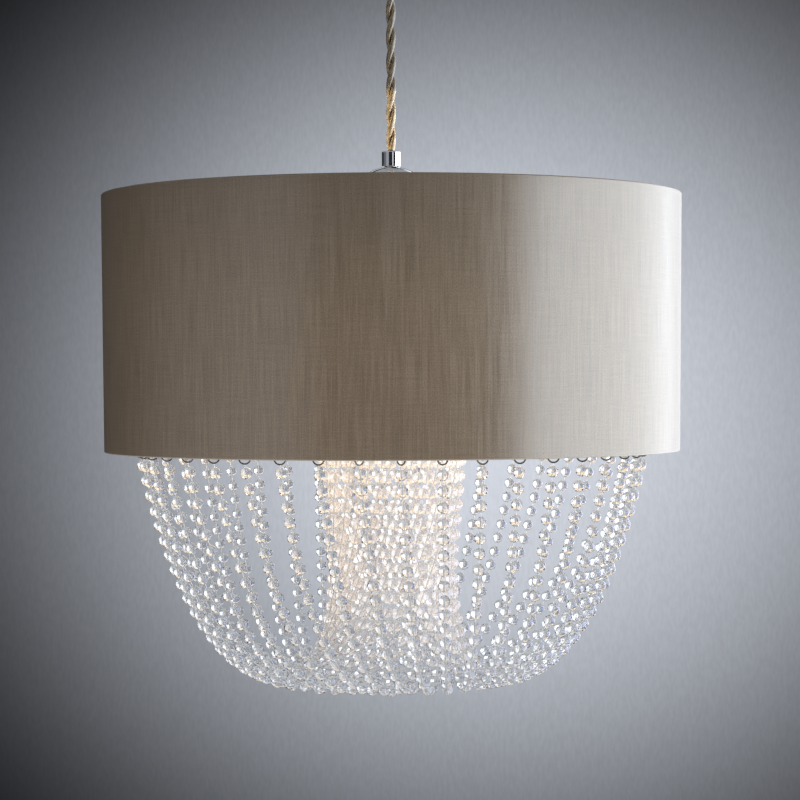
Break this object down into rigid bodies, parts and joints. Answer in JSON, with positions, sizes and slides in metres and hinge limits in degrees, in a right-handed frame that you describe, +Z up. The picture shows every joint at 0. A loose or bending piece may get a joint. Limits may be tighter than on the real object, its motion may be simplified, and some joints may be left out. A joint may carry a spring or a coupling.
{
  "type": "pendant light",
  "caption": "Pendant light with a fabric drum shade on a twisted flex. Strands of clear beads sweep from a wide ring round the middle and up to a small ring under the bulb.",
  "frame": {"origin": "centre of the ceiling bracket's top face, where it meets the ceiling", "axes": "+Z up into the ceiling, the flex hanging down -Z; +Y away from the picture's camera, +X to its right"},
  "size_m": [0.45, 0.45, 0.5782],
  "materials": {
    "steel": "satin",
    "chrome": "polished",
    "white_wire": "white epoxy coat",
    "brass": "satin",
    "plastic": "semi-gloss",
    "black": "matte",
    "core": "smooth insulation",
    "braid": "braided, twisted",
    "fabric": "slubbed faux silk",
    "liner": "matte, diffusing",
    "beads": "clear, faceted",
    "glass": "clear",
    "filament": "glowing"
  },
  "bodies": {
    "ceiling_mount": {"ceiling_bracket": "steel", "terminal_block": "plastic", "terminal_screw_1": "steel", "terminal_screw_2": "steel", "terminal_screw_3": "steel", "supply_core_live": "core", "supply_core_neutral": "core", "canopy": "chrome", "canopy_screw_left": "chrome", "canopy_screw_right": "chrome", "canopy_outlet": "chrome", "canopy_nut": "steel"},
    "flex_link": {"flex_bend": "braid"},
    "flex_drop": {"flex": "braid"},
    "pendant": {"cord_grip": "chrome", "cord_grip_screw": "steel", "stem": "steel", "lamp_core_live": "core", "lamp_core_neutral": "core", "dome_cap": "chrome", "stem_nut": "steel", "lampholder_body": "plastic", "lampholder_cap": "plastic", "contact_block": "plastic", "screw_shell": "brass", "centre_contact": "brass", "shade_fabric": "fabric", "shade_liner": "liner", "shade_top_ring": "white_wire", "shade_bottom_ring": "white_wire", "shade_spider": "white_wire", "frame_hub": "chrome", "frame_arm_1": "chrome", "frame_arm_2": "chrome", "frame_arm_3": "chrome", "outer_bead_ring": "chrome", "inner_bead_ring": "chrome", "bead_strands_01": "beads", "bead_strands_02": "beads", "bead_strands_03": "beads", "bead_strands_04": "beads", "bead_strands_05": "beads", "bead_strands_06": "beads", "bead_strands_07": "beads", "bead_strands_08": "beads", "bead_strands_09": "beads", "bead_strands_10": "beads", "bead_strands_11": "beads", "bead_strands_12": "beads", "bead_strands_13": "beads", "bead_strands_14": "beads"},
    "clamp_ring": {"shade_ring": "plastic"},
    "lamp_bulb": {"bulb_cap": "brass", "bulb_tip": "black", "bulb_glass": "glass", "bulb_stem": "glass", "filament": "filament"}
  },
  "joints": [
    {"name": "swing_side", "type": "hinge", "parent": "ceiling_mount", "child": "flex_link", "pos_m": [0, 0, -0.0421], "axis": [0, 1, 0], "range_deg": [-25, 25]},
    {"name": "swing_front", "type": "hinge", "parent": "flex_link", "child": "flex_drop", "pos_m": [0, 0, -0.0421], "axis": [1, 0, 0], "range_deg": [-25, 25]},
    {"name": "flex_twist", "type": "hinge", "parent": "flex_drop", "child": "pendant", "pos_m": [0, 0, -0.171], "axis": [0, 0, 1], "range_deg": [-90, 90], "stiffness_Nm_per_rad": 0.03},
    {"name": "shade_ring_turn", "type": "hinge", "parent": "pendant", "child": "clamp_ring", "pos_m": [0, 0, -0.22], "axis": [0, 0, 1], "continuous": true},
    {"name": "bulb_turn", "type": "hinge", "parent": "pendant", "child": "lamp_bulb", "pos_m": [0, 0, -0.22], "axis": [0, 0, 1], "continuous": true}
  ]
}
